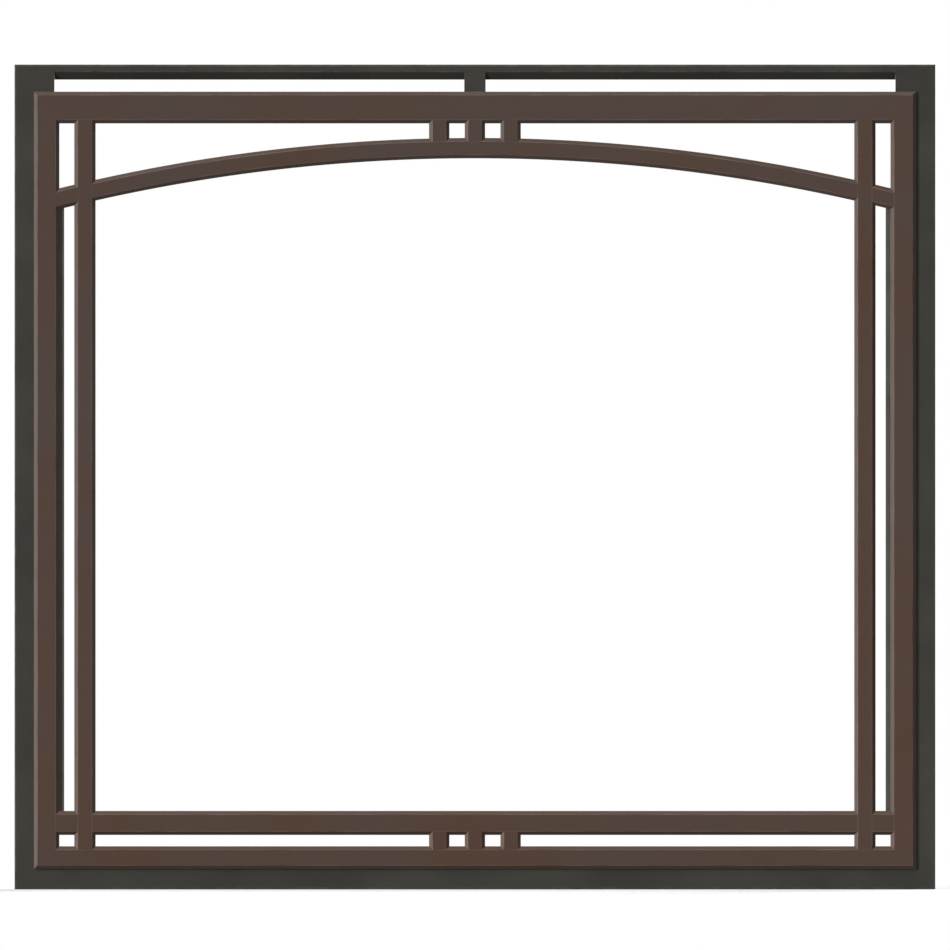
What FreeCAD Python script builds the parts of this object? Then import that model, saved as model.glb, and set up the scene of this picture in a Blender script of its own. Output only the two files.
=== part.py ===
"""A gas-fireplace front: a folded sheet-steel surround with a warm-air slot along its top,
and a lift-off face frame of chamfered flat bar that hangs on it by four studs in keyholes.

Millimetres. X runs to the viewer's right, Y from the room into the firebox, Z up.
The origin is the centre of the four screw holes, on the plane that seats on the firebox.
"""

import FreeCAD
import Part

import os
import re
import Sketcher

PARTS_FOLDER = "parts"

# Driving dimensions, in millimetres

SIZES = {
    # the surround: sheet steel folded into trays
    "front_width": 1016.0,  # over the surround
    "front_height": 910.0,  # over the surround
    "surround_depth": 32.0,  # from the firebox plane to the front of the sheet
    "sheet_gauge": 1.5,
    "bend_radius": 2.0,  # outside of the front folds
    "surround_stile_face": 44.0,
    "surround_top_face": 16.5,  # flat band and sloping lip together
    "top_lip": 8.5,  # height of the lip that slopes back over the slot
    "top_rear_flange": 14.0,
    "surround_bottom_face": 44.0,
    "bottom_rear_flange": 24.0,
    "stile_rear_flange": 42.0,
    "vent_slot_height": 13.5,  # as it shows above the face frame
    "header_setback": 2.0,  # how far the header hides below the face frame's top edge
    "header_face": 28.0,
    "header_flange": 15.0,
    "vent_strut_width": 23.5,
    "vent_strut_land": 2.5,  # depth of its top behind the lip's slope
    # splice plates spot-welded behind the surround's butt seams
    "splice_gauge": 2.0,
    "splice_length": 50.0,
    "splice_margin": 1.0,  # from a plate's edges to the folds beside it
    # the face frame: chamfered flat bar
    "side_reveal": 21.5,  # surround that shows beside the face frame
    "bottom_reveal": 22.5,  # surround that shows below the face frame
    "bar_thickness": 8.0,
    "bar_chamfer": 3.8,
    "hang_clearance": 0.3,  # between the face frame's back and the surround
    "face_stile_width": 28.0,
    "face_top_width": 35.0,
    "face_bottom_width": 25.0,
    "mullion_gap": 16.5,  # between a stile and its mullion
    "mullion_width": 23.5,
    "sill_gap": 12.5,  # between the bottom rail and the sill bar
    "sill_width": 26.5,
    "strut_width": 22.5,
    "strut_pitch": 39.4,
    "arch_crown_gap": 16.0,  # between the top rail and the crown of the arch
    "arch_rise": 55.5,  # crown above the arch's ends, on its upper edge
    "arch_width": 22.5,
    # mortise and tenon joints between the bars
    "tenon_length": 7.0,
    "tenon_width": 12.0,
    "tenon_thickness": 2.4,
    "joint_clearance": 0.15,
    # the slim rim behind the face frame, round the fire opening
    "rim_width": 10.0,
    "rim_thickness": 3.0,
    "rim_side_clearance": 0.8,  # between the rim's legs and the surround
    "rim_screw_pitch": 240.0,
    "rim_screw_radius": 2.0,
    "rim_screw_head_radius": 3.8,
    "rim_screw_head_height": 2.4,
    "rim_screw_bite": 4.5,  # thread inside the bar
    "rim_screw_clearance": 0.25,
    # the studs that the face frame hangs on, and their keyholes
    "stud_inset": 33.0,  # from the surround's outer edge
    "stud_half_pitch": 250.0,  # above and below the middle
    "stud_radius": 3.0,
    "stud_head_radius": 5.5,
    "stud_head_height": 2.5,
    "stud_thread_radius": 2.5,
    "stud_bite": 5.0,  # thread inside the face stile
    "keyhole_lift": 12.0,  # travel from the seat to the wide hole
    "keyhole_clearance": 0.3,
    # screw holes to the firebox, reached through wider holes in the front sheet
    "screw_half_pitch": 330.0,
    "screw_hole_radius": 2.75,
    "access_hole_radius": 6.0,
}

doc = FreeCAD.newDocument("fireplace_front")
sheet = doc.addObject("Spreadsheet::Sheet", "Sizes")
for row, (alias, value) in enumerate(SIZES.items(), start=1):
    sheet.set(f"A{row}", alias.replace("_", " "))
    sheet.set(f"B{row}", str(value))
    sheet.setAlias(f"B{row}", alias)
doc.recompute()

# Places worked out from the driving dimensions, as formulas for the expression engine

RIGHT = "(front_width / 2)"
TOP = "(front_height / 2)"
BOTTOM = "(-front_height / 2)"
FRONT = "(-surround_depth)"
SHEET_BACK = "(sheet_gauge - surround_depth)"
SEAM = f"({RIGHT} - surround_stile_face)"  # where the surround's rails meet its stiles

SLOT_TOP = f"({TOP} - surround_top_face)"
LIP_START = f"({SLOT_TOP} + top_lip)"
LIP_SLANT = "(sheet_gauge * sqrt(2))"  # the lip's wall measured level, on its 45 degree slope
LIP_FOLD = f"({LIP_START} + {LIP_SLANT} - sheet_gauge)"  # the same fold on the inside of the sheet
FACE_TOP = f"({SLOT_TOP} - vent_slot_height)"
HEADER_TOP = f"({FACE_TOP} - header_setback)"
HEADER_BOTTOM = f"({HEADER_TOP} - header_face)"
FACE_BOTTOM = f"({BOTTOM} + bottom_reveal)"
FACE_RIGHT = f"({RIGHT} - side_reveal)"

BAR_BACK = f"({FRONT} - hang_clearance)"
BAR_FRONT = f"({BAR_BACK} - bar_thickness)"
BAR_MIDDLE = f"({BAR_BACK} - bar_thickness / 2)"
BAR_SHOULDER = f"({BAR_FRONT} + bar_chamfer)"  # where the chamfers start
BAR_CORE = f"(({BAR_SHOULDER} + {BAR_BACK}) / 2)"  # middle of the square part behind the chamfers
RAIL_UNDERSIDE = f"({FACE_TOP} - face_top_width)"
RAIL_UPPERSIDE = f"({FACE_BOTTOM} + face_bottom_width)"
STILE_EDGE = f"({FACE_RIGHT} - face_stile_width)"
MULLION_OUTER = f"({STILE_EDGE} - mullion_gap)"
MULLION_INNER = f"({MULLION_OUTER} - mullion_width)"
SILL_BOTTOM = f"({RAIL_UPPERSIDE} + sill_gap)"
SILL_TOP = f"({SILL_BOTTOM} + sill_width)"
SILL_MIDDLE = f"({SILL_BOTTOM} + sill_width / 2)"

ARCH_CROWN = f"({RAIL_UNDERSIDE} - arch_crown_gap)"
ARCH_RADIUS = f"(({STILE_EDGE} ^ 2 + arch_rise ^ 2) / (2 * arch_rise))"  # of the upper edge
ARCH_CENTRE = f"({ARCH_CROWN} - {ARCH_RADIUS})"
ARCH_INNER = f"({ARCH_RADIUS} - arch_width)"
ARCH_END = f"({ARCH_CROWN} - arch_rise - arch_width / 2)"  # middle of the arch at a stile

RIM_BACK = f"({BAR_BACK} + rim_thickness)"
RIM_OUTER = f"({SEAM} - rim_side_clearance)"
RIM_INNER = f"({RIM_OUTER} - rim_width)"
RIM_RADIUS = f"({ARCH_RADIUS} - arch_width / 2)"  # along the middle of the rim's head
RIM_SILL_TOP = f"({SILL_MIDDLE} + rim_width / 2)"
RIM_SILL_BOTTOM = f"({SILL_MIDDLE} - rim_width / 2)"

STUD_X = f"({RIGHT} - stud_inset)"
STUD_SLOT_RADIUS = "(stud_radius + keyhole_clearance)"

SIDES = {"left": -1, "right": 1}
STRUTS = {"left": -1, "centre": 0, "right": 1}  # places in steps of the strut pitch
LEVELS = {"lower": -1, "upper": 1}
RIM_SCREW_COUNT = 4  # along the arch and along the sill; even, so none meets the middle strut

SAME_PLACE = 1e-6  # millimetres
LEAST_CUT = 1e-3  # cubic millimetres

# Modelling helpers

subparts = []
size_names = re.compile("|".join(rf"\b{name}\b" for name in SIZES))


def bind(item, prop, formula):
    """Drives one property by a formula written with the names of the sheet's cells."""
    item.setExpression(prop, size_names.sub(lambda found: f"Sizes.{found.group()}", formula))


def new_body(label):
    """An empty body that becomes the sub-part of that name."""
    body = doc.addObject("PartDesign::Body", label)
    body.Label = label
    subparts.append(body)
    return body


def new_sketch(body, name, plane, offset=(None, None, None)):
    """A sketch on one of the body's own origin planes, moved by formulas along its own axes."""
    sketch = body.newObject("Sketcher::SketchObject", f"{body.Name}_{name}_sketch")
    planes = {feature.Role: feature for feature in body.Origin.OriginFeatures}
    sketch.AttachmentSupport = [(planes[plane], "")]
    sketch.MapMode = "FlatFace"
    for axis, formula in zip("xyz", offset):
        if formula is not None:
            bind(sketch, f"AttachmentOffset.Base.{axis}", formula)
    return sketch


def place_point(sketch, geometry, end, name, across, up):
    """Fixes one end of a piece of sketch geometry at a place given by two formulas."""
    for letter, kind, formula in (("x", "DistanceX", across), ("y", "DistanceY", up)):
        index = sketch.addConstraint(Sketcher.Constraint(kind, -1, 1, geometry, end, 1.0))
        sketch.renameConstraint(index, f"{name}{letter}")
        bind(sketch, f"Constraints.{name}{letter}", formula)


def draw_outline(sketch, points):
    """A closed outline of straight lines through points given by formulas."""
    count = len(points)
    turn = FreeCAD.Rotation(FreeCAD.Vector(0, 0, 1), 360.0 / count)
    corner = FreeCAD.Vector(10, 0, 0)
    for _ in points:
        following = turn.multVec(corner)
        sketch.addGeometry(Part.LineSegment(corner, following), False)
        corner = following
    for index in range(count):
        sketch.addConstraint(Sketcher.Constraint("Coincident", index, 2, (index + 1) % count, 1))
    for index, (across, up) in enumerate(points):
        place_point(sketch, index, 1, f"p{index}", across, up)


def draw_circle(sketch, name, across, up, radius):
    """A circle whose centre and radius are formulas."""
    upright = FreeCAD.Vector(0, 0, 1)
    geometry = sketch.addGeometry(Part.Circle(FreeCAD.Vector(1, 1, 0), upright, 5.0), False)
    place_point(sketch, geometry, 3, name, across, up)
    index = sketch.addConstraint(Sketcher.Constraint("Radius", geometry, 5.0))
    sketch.renameConstraint(index, f"{name}r")
    bind(sketch, f"Constraints.{name}r", radius)


def extrude(body, name, sketch, length, cut):
    """Pads or pockets a sketch along its own normal."""
    kind = "PartDesign::Pocket" if cut else "PartDesign::Pad"
    feature = body.newObject(kind, f"{body.Name}_{name}")
    feature.Profile = sketch
    feature.Reversed = cut
    bind(feature, "Length", length)
    sketch.Visibility = False
    return feature


def block(body, name, x, y, z, cut=False):
    """Adds or removes a rectangular block between pairs of formulas, the lower z first."""
    sketch = new_sketch(body, name, "XY_Plane", (None, None, z[0]))
    corners = [(x[0], y[0]), (x[1], y[0]), (x[1], y[1]), (x[0], y[1])]
    draw_outline(sketch, corners)
    return extrude(body, name, sketch, f"{z[1]} - {z[0]}", cut)


def drill(body, name, centres, radius, y):
    """Removes round holes along Y between two formulas, at centres given in X and Z."""
    sketch = new_sketch(body, name, "XZ_Plane", (None, None, f"-{y[1]}"))
    for index, (across, up) in enumerate(centres):
        draw_circle(sketch, f"c{index}", across, up, radius)
    return extrude(body, name, sketch, f"{y[1]} - {y[0]}", cut=True)


def cut_ring(body, name, radii, y):
    """Removes a ring, or a disc, about the arch's axis between two formulas in Y."""
    sketch = new_sketch(body, name, "XZ_Plane", (None, None, f"-{y[1]}"))
    for index, radius in enumerate(radii):
        draw_circle(sketch, f"c{index}", "0", ARCH_CENTRE, radius)
    return extrude(body, name, sketch, f"{y[1]} - {y[0]}", cut=True)


def on_outer_fold(edge):
    """True for an edge of the front sheet that lies along the surround's outside."""
    def at(place, size):
        return abs(abs(place) - size) < SAME_PLACE

    middle = edge.CenterOfMass
    along_side = at(middle.x, sheet.front_width / 2)
    along_end = at(middle.z, sheet.front_height / 2)
    at_front = at(middle.y, sheet.surround_depth)
    return at_front and (along_side or along_end)


def round_outer_folds(body):
    """Rounds the folds round the outside of the front sheet, within what the sheet's wall allows."""
    doc.recompute()
    base = body.Tip
    edges = enumerate(base.Shape.Edges, start=1)
    fillet = body.newObject("PartDesign::Fillet", f"{body.Name}_folds")
    fillet.Base = (base, [f"Edge{number}" for number, edge in edges if on_outer_fold(edge)])
    bind(fillet, "Radius", "min(bend_radius; 1.5 * sheet_gauge)")


def bar_section(low, high):
    """A flat bar's section across its width: square at the back, chamfered at the front."""
    return [
        (low, BAR_BACK),
        (high, BAR_BACK),
        (high, BAR_SHOULDER),
        (f"({high} - bar_chamfer)", BAR_FRONT),
        (f"({low} + bar_chamfer)", BAR_FRONT),
        (low, BAR_SHOULDER),
    ]


def upright_bar(label, x, z):
    """A bar that stands upright between two formulas in Z, low x first."""
    body = new_body(label)
    sketch = new_sketch(body, "section", "XY_Plane", (None, None, z[0]))
    draw_outline(sketch, bar_section(*x))
    extrude(body, "bar", sketch, f"{z[1]} - {z[0]}", cut=False)
    return body


def level_bar(label, half_length, z):
    """A bar that lies level, as long each side of the middle, low z first."""
    body = new_body(label)
    sketch = new_sketch(body, "section", "YZ_Plane", (None, None, f"-{half_length}"))
    draw_outline(sketch, [(y, up) for up, y in bar_section(*z)])
    extrude(body, "bar", sketch, f"2 * {half_length}", cut=False)
    return body


def about(middle, width):
    """The two sides of something of that width about a middle."""
    return f"({middle} - {width} / 2)", f"({middle} + {width} / 2)"


def on_side(side, near, far):
    """A right-hand pair of places along X, or its mirror image, low first."""
    return (near, far) if side > 0 else (f"(-{far})", f"(-{near})")


def slack(low, high):
    """A mortise's two sides: the tenon's, moved apart by the joint's clearance."""
    return f"({low} - joint_clearance)", f"({high} + joint_clearance)"


TENON_Y = about(BAR_CORE, "tenon_thickness")
MORTISE_Y = slack(*TENON_Y)
MULLION_MIDDLES = [f"({side} * ({MULLION_OUTER} - mullion_width / 2))" for side in SIDES.values()]
STRUT_MIDDLES = [f"({place} * strut_pitch)" for place in STRUTS.values()]


def mortises(body, middles, z):
    """Mortises that open up or down, for tenons at these places along X."""
    for index, middle in enumerate(middles):
        sides = slack(*about(middle, "tenon_width"))
        block(body, f"mortise_{index}", sides, MORTISE_Y, z, cut=True)


# Surround

def surround_stile(word, side):
    """A folded tray: front sheet, outer web, closed ends and a wide rear flange with screw holes."""
    body = new_body(f"surround_{word}_stile")
    outer, inner = f"({side} * {RIGHT})", f"({side} * {SEAM})"
    web = f"({side} * ({RIGHT} - sheet_gauge))"
    flange = f"({side} * ({RIGHT} - stile_rear_flange))"
    past_seam = f"({side} * ({SEAM} - surround_stile_face))"
    block(body, "tray", (outer, inner), (FRONT, "0"), (BOTTOM, TOP))
    round_outer_folds(body)
    inside = (f"({BOTTOM} + sheet_gauge)", f"({TOP} - sheet_gauge)")
    block(body, "hollow", (web, past_seam), (SHEET_BACK, "(-sheet_gauge)"), inside, cut=True)
    block(body, "open_back", (flange, past_seam), ("(-sheet_gauge)", "sheet_gauge"), inside, cut=True)

    stud_x = f"({side} * {STUD_X})"
    through_sheet = (f"({FRONT} - sheet_gauge)", SHEET_BACK)
    seats = [f"({level} * stud_half_pitch)" for level in LEVELS.values()]
    entries = [f"({seat} + keyhole_lift)" for seat in seats]
    entry_radius = "(stud_head_radius + 2 * keyhole_clearance)"
    drill(body, "keyhole_entries", [(stud_x, entry) for entry in entries], entry_radius, through_sheet)
    drill(body, "keyhole_seats", [(stud_x, seat) for seat in seats], STUD_SLOT_RADIUS, through_sheet)
    neck = about(stud_x, f"(2 * {STUD_SLOT_RADIUS})")
    for level, seat, entry in zip(LEVELS, seats, entries):
        block(body, f"keyhole_neck_{level}", neck, through_sheet, (seat, entry), cut=True)

    screws = [(stud_x, f"({level} * screw_half_pitch)") for level in LEVELS.values()]
    drill(body, "access_holes", screws, "access_hole_radius", through_sheet)
    drill(body, "screw_holes", screws, "screw_hole_radius", ("(-2 * sheet_gauge)", "sheet_gauge"))


def folded_rail(label, profile):
    """A rail folded to one profile in Y and Z, reaching from seam to seam."""
    body = new_body(label)
    sketch = new_sketch(body, "profile", "YZ_Plane", (None, None, f"-{SEAM}"))
    draw_outline(sketch, profile)
    extrude(body, "rail", sketch, f"2 * {SEAM}", cut=False)
    return body


def surround_top_rail():
    """The band above the warm-air slot: its lower edge is folded into a lip that slopes back."""
    body = folded_rail("surround_top_rail", [
        (FRONT, TOP),
        ("0", TOP),
        ("0", f"({TOP} - top_rear_flange)"),
        ("(-sheet_gauge)", f"({TOP} - top_rear_flange)"),
        ("(-sheet_gauge)", f"({TOP} - sheet_gauge)"),
        (SHEET_BACK, f"({TOP} - sheet_gauge)"),
        (SHEET_BACK, LIP_FOLD),
        (f"({FRONT} + top_lip + {LIP_SLANT})", SLOT_TOP),
        (f"({FRONT} + top_lip)", SLOT_TOP),
        (FRONT, LIP_START),
    ])
    round_outer_folds(body)


def surround_header():
    """A channel below the warm-air slot, behind the face frame's top rail."""
    flange_back = f"({FRONT} + header_flange)"
    folded_rail("surround_header", [
        (FRONT, HEADER_TOP),
        (flange_back, HEADER_TOP),
        (flange_back, f"({HEADER_TOP} - sheet_gauge)"),
        (SHEET_BACK, f"({HEADER_TOP} - sheet_gauge)"),
        (SHEET_BACK, f"({HEADER_BOTTOM} + sheet_gauge)"),
        (flange_back, f"({HEADER_BOTTOM} + sheet_gauge)"),
        (flange_back, HEADER_BOTTOM),
        (FRONT, HEADER_BOTTOM),
    ])


def surround_bottom_rail():
    """The band along the hearth, with its web underneath and a rear flange."""
    body = folded_rail("surround_bottom_rail", [
        (FRONT, BOTTOM),
        ("0", BOTTOM),
        ("0", f"({BOTTOM} + bottom_rear_flange)"),
        ("(-sheet_gauge)", f"({BOTTOM} + bottom_rear_flange)"),
        ("(-sheet_gauge)", f"({BOTTOM} + sheet_gauge)"),
        (SHEET_BACK, f"({BOTTOM} + sheet_gauge)"),
        (SHEET_BACK, f"({BOTTOM} + surround_bottom_face)"),
        (FRONT, f"({BOTTOM} + surround_bottom_face)"),
    ])
    round_outer_folds(body)


def vent_strut():
    """The spacer in the middle of the slot, cut to the slope of the lip above it."""
    body = new_body("vent_strut")
    sketch = new_sketch(body, "side", "YZ_Plane", (None, None, "-vent_strut_width / 2"))
    strut_back = f"({FRONT} + top_lip + vent_strut_land)"
    draw_outline(sketch, [
        (FRONT, HEADER_TOP),
        (strut_back, HEADER_TOP),
        (strut_back, SLOT_TOP),
        (f"({FRONT} + top_lip)", SLOT_TOP),
        (FRONT, LIP_START),
    ])
    extrude(body, "strut", sketch, "vent_strut_width", cut=False)


def group(label, members):
    """Several like solids that share one node."""
    compound = doc.addObject("Part::Compound", label)
    compound.Label = label
    compound.Links = members
    subparts.append(compound)


def clear_of_folds(low, high):
    """The two sides of a plate that fits between two folds."""
    return f"({low} + splice_margin)", f"({high} - splice_margin)"


def splice_plates(label, y, z):
    """A pair of flat plates against the inside of the sheet, each across a butt seam, low places first."""
    plates = []
    for word, side in SIDES.items():
        plate = doc.addObject("Part::Box", f"{label}_{word}")
        bind(plate, "Length", "splice_length")
        bind(plate, "Width", f"{y[1]} - {y[0]}")
        bind(plate, "Height", f"{z[1]} - {z[0]}")
        bind(plate, "Placement.Base.x", f"{side} * {SEAM} - splice_length / 2")
        bind(plate, "Placement.Base.y", y[0])
        bind(plate, "Placement.Base.z", z[0])
        plates.append(plate)
    group(label, plates)


# Face frame

def cut_mitre(body, name, side, outer_z, inner_z, keeps):
    """Takes off the triangle beyond the line from the frame's outer corner to its inner one."""
    corner = (f"({side} * {FACE_RIGHT})", outer_z)
    throat = (f"({side} * {STILE_EDGE})", inner_z)
    beyond = (corner[0], inner_z) if keeps == "rail" else (throat[0], outer_z)
    sketch = new_sketch(body, name, "XZ_Plane", (None, None, f"-{BAR_BACK}"))
    draw_outline(sketch, [corner, throat, beyond])
    extrude(body, name, sketch, "bar_thickness", cut=True)


def face_rail(label, outer_z, inner_z, mortise_z):
    """A top or bottom rail, mitred at both ends, with mortises for mullions and struts."""
    z = (inner_z, outer_z) if outer_z == FACE_TOP else (outer_z, inner_z)
    body = level_bar(label, FACE_RIGHT, z)
    for word, side in SIDES.items():
        cut_mitre(body, f"mitre_{word}", side, outer_z, inner_z, keeps="rail")
    mortises(body, MULLION_MIDDLES + STRUT_MIDDLES, mortise_z)


def face_stile(word, side):
    """A stile, mitred to both rails, with mortises for the arch and the sill bar."""
    body = upright_bar(f"face_{word}_stile", on_side(side, STILE_EDGE, FACE_RIGHT), (FACE_BOTTOM, FACE_TOP))
    cut_mitre(body, "mitre_top", side, FACE_TOP, RAIL_UNDERSIDE, keeps="stile")
    cut_mitre(body, "mitre_bottom", side, FACE_BOTTOM, RAIL_UPPERSIDE, keeps="stile")
    deep = on_side(side, STILE_EDGE, f"({STILE_EDGE} + tenon_length + joint_clearance)")
    for name, middle in (("arch", ARCH_END), ("sill", SILL_MIDDLE)):
        block(body, f"{name}_mortise", deep, MORTISE_Y, slack(*about(middle, "tenon_width")), cut=True)
    stud_x = f"({side} * {STUD_X})"
    seats = [(stud_x, f"({level} * stud_half_pitch)") for level in LEVELS.values()]
    bite = (f"({BAR_BACK} - stud_bite - joint_clearance)", BAR_BACK)
    drill(body, "stud_holes", seats, "(stud_thread_radius + joint_clearance)", bite)


def mullion(word, side, middle):
    """An inner upright, tenoned into both rails and halved at its back over the arch and sill."""
    edges = on_side(side, MULLION_INNER, MULLION_OUTER)
    body = upright_bar(f"{word}_mullion", edges, (RAIL_UPPERSIDE, RAIL_UNDERSIDE))
    tenon_z = (f"({RAIL_UPPERSIDE} - tenon_length)", f"({RAIL_UNDERSIDE} + tenon_length)")
    block(body, "tenons", about(middle, "tenon_width"), TENON_Y, tenon_z)
    back_half = (BAR_MIDDLE, BAR_BACK)
    ring = (f"({ARCH_RADIUS} + joint_clearance)", f"({ARCH_INNER} - joint_clearance)")
    cut_ring(body, "arch_halving", ring, back_half)
    block(body, "sill_halving", edges, back_half, slack(SILL_BOTTOM, SILL_TOP), cut=True)


def halvings(body, z):
    """Front-half notches where the two mullions cross over a level member."""
    for word, side in SIDES.items():
        edges = slack(*on_side(side, MULLION_INNER, MULLION_OUTER))
        block(body, f"halving_{word}", edges, (BAR_FRONT, BAR_MIDDLE), z, cut=True)


def end_tenons(body, middle):
    """Tenons at both ends of a member that spans from stile to stile."""
    reach = (f"({STILE_EDGE} - tenon_length)", f"({STILE_EDGE} + tenon_length)")
    for word, side in SIDES.items():
        block(body, f"tenon_{word}", on_side(side, *reach), TENON_Y, about(middle, "tenon_width"))


def screw_holes(body, places):
    """Blind holes in a bar's back for the rim's screws."""
    bite = (f"({BAR_BACK} - rim_screw_bite - joint_clearance)", BAR_BACK)
    drill(body, "screw_holes", places, "(rim_screw_radius + joint_clearance)", bite)


def arc_height(across):
    """Height of the middle of the arch at a place along X."""
    return f"({ARCH_CENTRE} + sqrt({RIM_RADIUS} ^ 2 - {across} ^ 2))"


HALF_STEPS = range(1 - RIM_SCREW_COUNT, RIM_SCREW_COUNT, 2)
SCREW_PLACES = [f"({step} * rim_screw_pitch / 2)" for step in HALF_STEPS]
HEAD_SCREWS = [(across, arc_height(across)) for across in SCREW_PLACES]
SILL_SCREWS = [(across, SILL_MIDDLE) for across in SCREW_PLACES]


def curved_bar(label, section, half_chord):
    """A section of (y, radius) formulas turned about the arch's axis and cut upright at both ends."""
    body = new_body(label)
    sketch = new_sketch(body, "section", "YZ_Plane", (None, ARCH_CENTRE, None))
    draw_outline(sketch, section)
    turned = body.newObject("PartDesign::Revolution", f"{label}_curve")
    turned.Profile = sketch
    turned.ReferenceAxis = (sketch, ["H_Axis"])
    turned.Midplane = True
    bind(turned, "Angle", f"2 * asin(({half_chord} + arch_width) / {ARCH_INNER})")
    sketch.Visibility = False
    beyond = (half_chord, f"({half_chord} + 4 * arch_width)")
    depth = (f"({BAR_FRONT} - bar_thickness)", f"({RIM_BACK} + rim_thickness)")
    height = (f"({ARCH_CROWN} - 2 * arch_rise - 2 * arch_width)", f"({ARCH_CROWN} + arch_width)")
    for word, side in SIDES.items():
        block(body, f"end_{word}", on_side(side, *beyond), depth, height, cut=True)
    return body


def arch_bar():
    """The curved bar below the top rail: tenoned to the stiles, halved under the mullions."""
    section = [(y, radius) for radius, y in bar_section(ARCH_INNER, ARCH_RADIUS)]
    body = curved_bar("arch_bar", section, STILE_EDGE)
    end_tenons(body, ARCH_END)
    halvings(body, (f"({ARCH_END} - arch_width)", f"({ARCH_CROWN} + joint_clearance)"))
    seat = (f"({ARCH_CROWN} - tenon_length - joint_clearance)", f"({ARCH_CROWN} + tenon_length)")
    mortises(body, STRUT_MIDDLES, seat)
    screw_holes(body, HEAD_SCREWS)


def sill_bar():
    """The level bar above the bottom rail: tenoned to the stiles, halved under the mullions."""
    body = level_bar("sill_bar", STILE_EDGE, (SILL_BOTTOM, SILL_TOP))
    end_tenons(body, SILL_MIDDLE)
    halvings(body, (SILL_BOTTOM, SILL_TOP))
    seat = (SILL_BOTTOM, f"({SILL_BOTTOM} + tenon_length + joint_clearance)")
    mortises(body, STRUT_MIDDLES, seat)
    screw_holes(body, SILL_SCREWS)


def top_strut(word, middle):
    """A short upright from the arch to the top rail, scribed to the arch and tenoned into both."""
    inside_arch = f"({ARCH_CROWN} - arch_width / 2)"
    body = upright_bar(f"top_strut_{word}", about(middle, "strut_width"), (inside_arch, RAIL_UNDERSIDE))
    cut_ring(body, "scribe", [ARCH_RADIUS], (BAR_FRONT, BAR_BACK))
    tenon_z = (f"({ARCH_CROWN} - tenon_length)", f"({RAIL_UNDERSIDE} + tenon_length)")
    block(body, "tenons", about(middle, "tenon_width"), TENON_Y, tenon_z)


def bottom_strut(word, middle):
    """A short upright from the bottom rail to the sill bar, tenoned into both."""
    body = upright_bar(f"bottom_strut_{word}", about(middle, "strut_width"), (RAIL_UPPERSIDE, SILL_BOTTOM))
    tenon_z = (f"({RAIL_UPPERSIDE} - tenon_length)", f"({SILL_BOTTOM} + tenon_length)")
    block(body, "tenons", about(middle, "tenon_width"), TENON_Y, tenon_z)


# Rim round the fire opening

def rim():
    """Flat bar behind the face frame: an arched head, two legs and a foot, held by screws."""
    foot = new_body("rim_bottom_leg")
    depth = (BAR_BACK, RIM_BACK)
    block(foot, "bar", (f"(-{RIM_OUTER})", RIM_OUTER), depth, (RIM_SILL_BOTTOM, RIM_SILL_TOP))
    clearance_hole = "(rim_screw_radius + rim_screw_clearance)"
    drill(foot, "screw_holes", SILL_SCREWS, clearance_hole, depth)

    low, high = about(RIM_RADIUS, "rim_width")
    section = [(BAR_BACK, low), (RIM_BACK, low), (RIM_BACK, high), (BAR_BACK, high)]
    head = curved_bar("rim_arch_head", section, RIM_OUTER)
    drill(head, "screw_holes", HEAD_SCREWS, clearance_hole, depth)

    past_crown = f"({RIM_RADIUS} + 2 * arch_rise + 2 * arch_width)"
    for word, side in SIDES.items():
        leg = new_body(f"rim_{word}_leg")
        block(leg, "bar", on_side(side, RIM_INNER, RIM_OUTER), depth, (RIM_SILL_TOP, ARCH_CROWN))
        cut_ring(leg, "scribe", [low, past_crown], depth)


# Fasteners

def turned_along_y(name, x, z, steps):
    """A turned piece along Y from (radius, start, end) steps, as one fused solid."""
    cylinders = []
    for index, (radius, start, end) in enumerate(steps):
        cylinder = doc.addObject("Part::Cylinder", f"{name}_{index}")
        cylinder.Placement.Rotation = FreeCAD.Rotation(FreeCAD.Vector(1, 0, 0), -90)
        bind(cylinder, "Radius", radius)
        bind(cylinder, "Height", f"{end} - {start}")
        bind(cylinder, "Placement.Base.x", x)
        bind(cylinder, "Placement.Base.y", start)
        bind(cylinder, "Placement.Base.z", z)
        cylinders.append(cylinder)
    fused = doc.addObject("Part::MultiFuse", name)
    fused.Shapes = cylinders
    return fused


def hanger_studs():
    """Shouldered studs screwed into the back of the face stiles, heads behind the surround's sheet."""
    head = f"({SHEET_BACK} + keyhole_clearance)"
    steps = [
        ("stud_thread_radius", f"({BAR_BACK} - stud_bite)", BAR_BACK),
        ("stud_radius", BAR_BACK, head),
        ("stud_head_radius", head, f"({head} + stud_head_height)"),
    ]
    studs = []
    for word, side in SIDES.items():
        for word_z, level in LEVELS.items():
            place = (f"{side} * {STUD_X}", f"{level} * stud_half_pitch")
            studs.append(turned_along_y(f"stud_{word}_{word_z}", *place, steps))
    group("hanger_studs", studs)


def rim_screws():
    """Pan-head screws through the rim into the backs of the arch and the sill bar."""
    steps = [
        ("rim_screw_radius", f"({BAR_BACK} - rim_screw_bite)", RIM_BACK),
        ("rim_screw_head_radius", RIM_BACK, f"({RIM_BACK} + rim_screw_head_height)"),
    ]
    screws = []
    for index, (across, up) in enumerate(HEAD_SCREWS + SILL_SCREWS):
        screws.append(turned_along_y(f"rim_screw_{index}", across, up, steps))
    group("rim_screws", screws)


# The assembly, from the firebox outwards

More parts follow.
